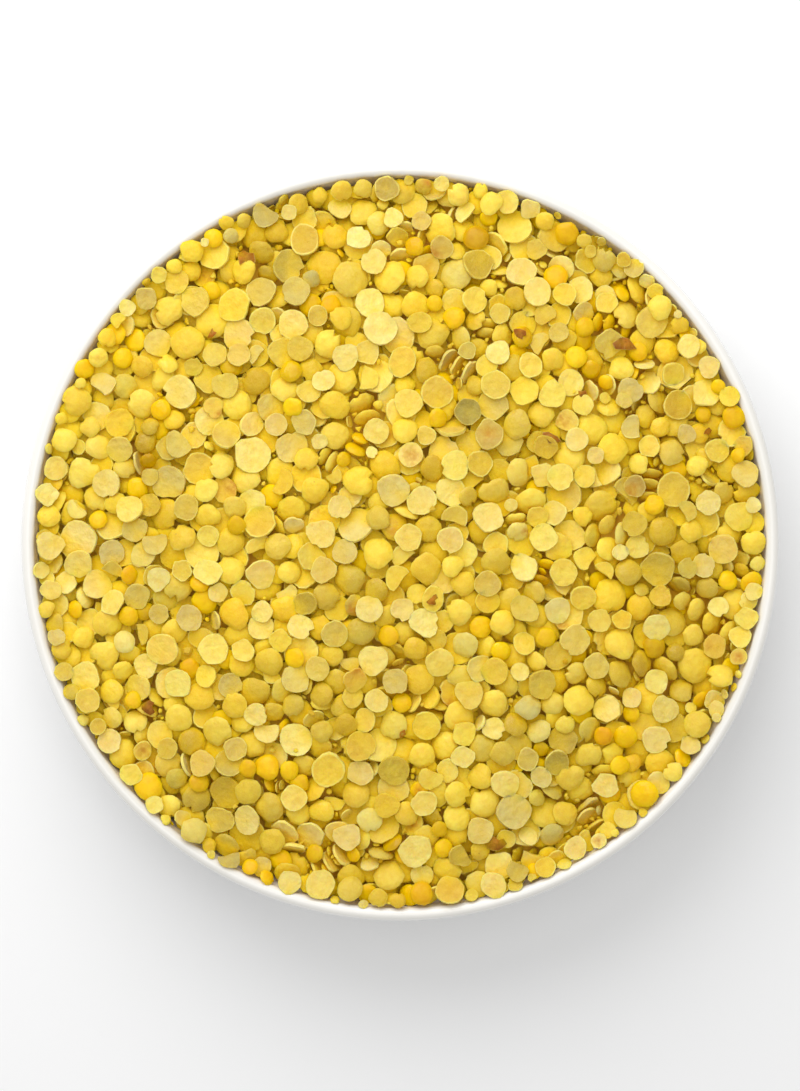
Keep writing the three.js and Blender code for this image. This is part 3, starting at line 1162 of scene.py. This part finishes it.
class LENTILDISH_OT_dish(bpy.types.Operator):
    """Throw the round dish with its foot ring, and glaze it"""

    bl_idname = "lentildish.dish"
    bl_label = "Throw Dish"

    def execute(self, context):
        half = RIM_THICKNESS / 2
        rim_centre = FILL_RADIUS + half
        rim_base = DISH_HEIGHT - half
        outside = bezier(
            (FOOT_RADIUS, FOOT_HEIGHT),
            (FOOT_RADIUS + OUTSIDE_SWEEP, FOOT_HEIGHT + OUTSIDE_CLIMB),
            (rim_centre + half - OUTSIDE_LEAN, DISH_HEIGHT * OUTSIDE_BEND),
            (rim_centre + half, rim_base),
            WALL_RINGS,
        )
        turn = np.linspace(0, math.pi, RIM_RINGS + 1)[1:-1]
        rim = np.stack([rim_centre + half * np.cos(turn), rim_base + half * np.sin(turn)], 1)
        profile = [
            (FOOT_RADIUS - FOOT_WIDTH, FOOT_HEIGHT),
            (FOOT_RADIUS - FOOT_WIDTH + FOOT_DRAFT, 0),
            (FOOT_RADIUS - FOOT_DRAFT, 0),
            *outside,
            *rim,
            *inside_curve(WALL_RINGS)[::-1],
        ]
        dish = thrown("dish_thrown", DISH_SIDES, profile)
        rounding = dish.modifiers.new("rounding", "BEVEL")
        rounding.width = FOOT_ROUNDING
        rounding.segments = 3
        rounding.limit_method = "ANGLE"
        rounding.angle_limit = math.radians(FOOT_CORNER)
        bpy.ops.object.modifier_apply(modifier=rounding.name)
        smoothed(dish, CRISP_EDGE)
        settled(dish, glaze_finish(context.scene.dish), "glaze", "dish")
        return {"FINISHED"}


class LENTILDISH_OT_core(bpy.types.Operator):
    """Fill the dish up to the loose lentils with one core"""

    bl_idname = "lentildish.core"
    bl_label = "Fill Core"

    def execute(self, context):
        below_top = LOOSE_DEPTH + CORE_SUNK
        edge_height = DISH_HEIGHT - FILL_BELOW_RIM - LOOSE_DEPTH
        side = [p for p in inside_curve(CORE_WALL_RINGS, NODE_GAP) if p[1] < edge_height]
        edge, highest = side[-1]
        shares = np.linspace(1, CORE_TIP, CORE_TOP_RINGS)
        top = [(edge * s, float(fill_height(edge * s, 0)) - below_top) for s in shares]
        core = thrown("lentil_core", CORE_SIDES, [*side, *top])
        for vertex in core.data.vertices:
            if vertex.co.z > highest + 0.1 * MM:
                vertex.co.z = float(fill_height(vertex.co.x, vertex.co.y)) - below_top
        smoothed(core, CRISP_EDGE)
        settled(core, core_finish(context.scene.lentils), "lentil", "lentils")
        return {"FINISHED"}


class LENTILDISH_OT_lentils(bpy.types.Operator):
    """Lay the lentils one by one, and join those of each kind"""

    bl_idname = "lentildish.lentils"
    bl_label = "Lay Lentils"

    def execute(self, context):
        settings = context.scene.lentils
        heap = lay_heap(settings)
        random = np.random.default_rng(SEED + 1)
        for name in KINDS:
            piece = joined_lentils(name, heap, getattr(settings, name), random)
            smoothed(piece, LENTIL_CRISP_EDGE)
            settled(piece, lentil_finish(name, settings), "lentil", "lentils")
        return {"FINISHED"}


class LENTILDISH_OT_stage(bpy.types.Operator):
    """Set the pale floor, the soft light and the camera"""

    bl_idname = "lentildish.stage"
    bl_label = "Set Stage"

    def execute(self, context):
        settings = context.scene.stage
        bpy.ops.object.select_all(action="DESELECT")
        bpy.ops.mesh.primitive_plane_add(size=FLOOR_SIZE)
        floor = context.object
        floor.name = "floor"
        finish = Finish("pale_floor")
        floor.data.materials.append(finish.surface(Base_Color=settings.floor, Roughness=0.9))

        world = bpy.data.worlds.new("soft_room")
        world.use_nodes = True
        background = world.node_tree.nodes["Background"]
        background.inputs["Color"].default_value = (1, 1, 1, 1)
        background.inputs["Strength"].default_value = settings.sky
        context.scene.world = world

        soft_light("key_light", KEY_PLACE, settings.key_power)
        soft_light("fill_light", FILL_PLACE, settings.fill_power)

        pixel = 2 * FILL_RADIUS / FILL_PIXELS
        distance = settings.distance
        bpy.ops.object.camera_add(location=(0, -CENTRE_UP_PIXELS * pixel, DISH_HEIGHT + distance))
        camera = context.object
        camera.name = "camera"
        camera.data.sensor_width = SENSOR_MM
        camera.data.lens = SENSOR_MM * distance / (FRAME_PIXELS[1] * pixel)
        camera.data.clip_end = FARTHEST
        context.scene.camera = camera
        context.scene.view_settings.view_transform = "Standard"
        return {"FINISHED"}


class LENTILDISH_PT_panel(bpy.types.Panel):
    """The dish's operators and settings"""

    bl_idname = "LENTILDISH_PT_panel"
    bl_label = "Lentil Dish"
    bl_space_type = "VIEW_3D"
    bl_region_type = "UI"
    bl_category = "Lentil Dish"

    def draw(self, context):
        for operator in OPERATORS:
            self.layout.operator(operator.bl_idname)
        for name in SETTINGS:
            group = getattr(context.scene, name)
            box = self.layout.box()
            for prop in group.bl_rna.properties:
                if not prop.is_readonly and prop.identifier != "name":
                    box.prop(group, prop.identifier)


OPERATORS = (LENTILDISH_OT_dish, LENTILDISH_OT_core, LENTILDISH_OT_lentils, LENTILDISH_OT_stage)
SETTINGS = {"dish": DishSettings, "lentils": LentilSettings, "stage": StageSettings}


def register():
    for cls in (*SETTINGS.values(), *OPERATORS, LENTILDISH_PT_panel):
        bpy.utils.register_class(cls)
    for name, group in SETTINGS.items():
        setattr(bpy.types.Scene, name, bpy.props.PointerProperty(type=group))


def unregister():
    for name in SETTINGS:
        delattr(bpy.types.Scene, name)
    for cls in reversed((*SETTINGS.values(), *OPERATORS, LENTILDISH_PT_panel)):
        bpy.utils.unregister_class(cls)


def main():
    register()
    bpy.ops.lentildish.dish()
    bpy.ops.lentildish.core()
    bpy.ops.lentildish.lentils()
    bpy.ops.lentildish.stage()


if __name__ == "__main__":
    main()
